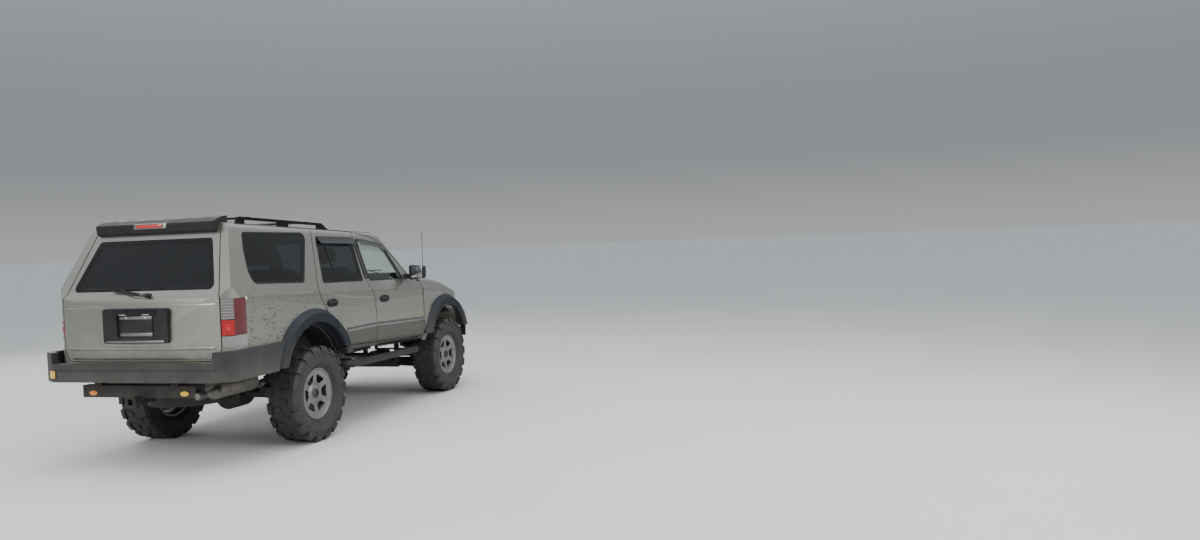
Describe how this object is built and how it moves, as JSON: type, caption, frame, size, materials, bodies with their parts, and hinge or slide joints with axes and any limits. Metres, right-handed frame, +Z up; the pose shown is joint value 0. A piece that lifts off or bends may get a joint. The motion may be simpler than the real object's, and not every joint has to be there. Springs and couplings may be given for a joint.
{
  "type": "off-road estate car",
  "caption": "Lifted five-door off-road 4x4 with big mud tyres, flared arches, opening doors, tailgate and bonnet, steered front wheels and a square hitch socket.",
  "frame": {"origin": "on the ground under the middle of the vehicle, halfway along its length and width", "axes": "+X towards the front, along the length; +Y towards the left-hand side; +Z up"},
  "size_m": [4.705, 2.07, 1.9824],
  "materials": {
    "body_paint": "satin metallic beige-silver",
    "flare_plastic": "grained blue-black plastic",
    "trim_plastic": "grained dark grey plastic",
    "bumper_plastic": "grained grey plastic",
    "clear_glass": "clear green tint",
    "dark_glass": "dark tint",
    "tail_lamp_red": "gloss",
    "headlamp_lens": "clear lens",
    "bright_metal": "polished",
    "alloy": "satin cast",
    "tyre_rubber": "dusty black",
    "frame_black": "satin black",
    "bare_steel": "weathered",
    "cast_metal": "rough cast",
    "cooler_metal": "matt",
    "seat_cloth": "woven",
    "dash_plastic": "soft grain"
  },
  "bodies": {
    "body_and_frame": {"aerial": "frame_black", "arch_flares": "flare_plastic", "bulkhead": "body_paint", "cross_members": "frame_black", "dashboard": "dash_plastic", "engine_block": "cast_metal", "exhaust": "bare_steel", "fixed_glass": "dark_glass", "floor_pan": "body_paint", "frame_rail_left": "frame_black", "frame_rail_right": "frame_black", "front_bumper": "bright_metal", "front_seats": "seat_cloth", "front_springs": "frame_black", "front_suspension": "frame_black", "front_wing_left": "body_paint", "front_wing_right": "body_paint", "fuel_tank": "frame_black", "grille": "trim_plastic", "headlamps": "headlamp_lens", "nose_panel": "body_paint", "propeller_shafts": "bare_steel", "radiator": "cooler_metal", "rear_axle": "frame_black", "rear_bumper": "bumper_plastic", "rear_seat": "seat_cloth", "rear_springs": "frame_black", "roof_panel": "body_paint", "roof_rack": "frame_black", "side_panel_left": "body_paint", "side_panel_right": "body_paint", "side_steps": "frame_black", "spare_wheel": "tyre_rubber", "tail_lamps": "tail_lamp_red", "tow_hitch": "frame_black"},
    "front_door_left": {"door_front_left": "body_paint", "glass_front_door_left": "clear_glass", "door_mirror_left": "trim_plastic"},
    "rear_door_left": {"door_rear_left": "body_paint", "glass_rear_door_left": "dark_glass"},
    "front_upright_left": {"upright_left": "cast_metal"},
    "road_wheel_front_left": {"wheel_front_left": "alloy", "tyre_front_left": "tyre_rubber"},
    "road_wheel_rear_left": {"wheel_rear_left": "alloy", "tyre_rear_left": "tyre_rubber"},
    "front_door_right": {"door_front_right": "body_paint", "glass_front_door_right": "clear_glass", "door_mirror_right": "trim_plastic"},
    "rear_door_right": {"door_rear_right": "body_paint", "glass_rear_door_right": "dark_glass"},
    "front_upright_right": {"upright_right": "cast_metal"},
    "road_wheel_front_right": {"wheel_front_right": "alloy", "tyre_front_right": "tyre_rubber"},
    "road_wheel_rear_right": {"wheel_rear_right": "alloy", "tyre_rear_right": "tyre_rubber"},
    "tailgate_door": {"tailgate": "body_paint", "glass_tailgate": "dark_glass", "tailgate_trim": "trim_plastic"},
    "bonnet": {"hood": "body_paint"}
  },
  "joints": [
    {"name": "front_door_left_hinge", "type": "hinge", "parent": "body_and_frame", "child": "front_door_left", "pos_m": [1.032, 0.855, 0.95], "axis": [0, 0, -1], "range_deg": [0, 68]},
    {"name": "rear_door_left_hinge", "type": "hinge", "parent": "body_and_frame", "child": "rear_door_left", "pos_m": [-0.013, 0.855, 0.95], "axis": [0, 0, -1], "range_deg": [0, 68]},
    {"name": "steer_left", "type": "hinge", "parent": "body_and_frame", "child": "front_upright_left", "pos_m": [1.5625, 0.68, 0.418], "axis": [0, 0, 1], "range_deg": [-28, 28]},
    {"name": "roll_front_left", "type": "hinge", "parent": "front_upright_left", "child": "road_wheel_front_left", "pos_m": [1.5625, 0.755, 0.418], "axis": [0, 1, 0], "continuous": true},
    {"name": "roll_rear_left", "type": "hinge", "parent": "body_and_frame", "child": "road_wheel_rear_left", "pos_m": [-1.1125, 0.755, 0.418], "axis": [0, 1, 0], "continuous": true},
    {"name": "front_door_right_hinge", "type": "hinge", "parent": "body_and_frame", "child": "front_door_right", "pos_m": [1.032, -0.855, 0.95], "axis": [0, 0, 1], "range_deg": [0, 68]},
    {"name": "rear_door_right_hinge", "type": "hinge", "parent": "body_and_frame", "child": "rear_door_right", "pos_m": [-0.013, -0.855, 0.95], "axis": [0, 0, 1], "range_deg": [0, 68]},
    {"name": "steer_right", "type": "hinge", "parent": "body_and_frame", "child": "front_upright_right", "pos_m": [1.5625, -0.68, 0.418], "axis": [0, 0, 1], "range_deg": [-28, 28]},
    {"name": "roll_front_right", "type": "hinge", "parent": "front_upright_right", "child": "road_wheel_front_right", "pos_m": [1.5625, -0.755, 0.418], "axis": [0, 1, 0], "continuous": true},
    {"name": "roll_rear_right", "type": "hinge", "parent": "body_and_frame", "child": "road_wheel_rear_right", "pos_m": [-1.1125, -0.755, 0.418], "axis": [0, 1, 0], "continuous": true},
    {"name": "tailgate_hinge", "type": "hinge", "parent": "body_and_frame", "child": "tailgate_door", "pos_m": [-1.817, 0, 1.962], "axis": [0, 1, 0], "range_deg": [0, 80]},
    {"name": "bonnet_hinge", "type": "hinge", "parent": "body_and_frame", "child": "bonnet", "pos_m": [0.9965, 0, 1.335], "axis": [0, -1, 0], "range_deg": [0, 50]}
  ],
  "couplings": [
    {"joint": "steer_right", "follows": "steer_left", "ratio": 1}
  ]
}
